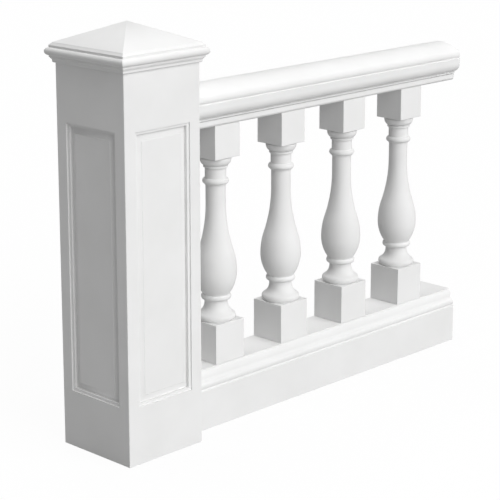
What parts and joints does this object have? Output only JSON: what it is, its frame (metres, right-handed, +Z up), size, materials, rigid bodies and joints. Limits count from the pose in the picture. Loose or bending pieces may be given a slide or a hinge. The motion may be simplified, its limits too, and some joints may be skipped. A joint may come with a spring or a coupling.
{
  "type": "stone balustrade",
  "caption": "Stone balustrade: a square panelled pier with a moulded cap, and a run of turned balusters between a moulded base and a moulded coping.",
  "frame": {"origin": "centre of the pier's foot, on the ground", "axes": "+X along the balustrade away from the pier, -Y its front, +Z up"},
  "size_m": [1.5285, 0.322, 1.203],
  "materials": {
    "stone": "fine matte, smooth cast white stone"
  },
  "bodies": {
    "root": {"pier_shaft": "stone", "pier_cap": "stone", "base_rail": "stone", "coping_rail": "stone", "baluster_1": "stone", "baluster_2": "stone", "baluster_3": "stone", "baluster_4": "stone"}
  },
  "joints": []
}
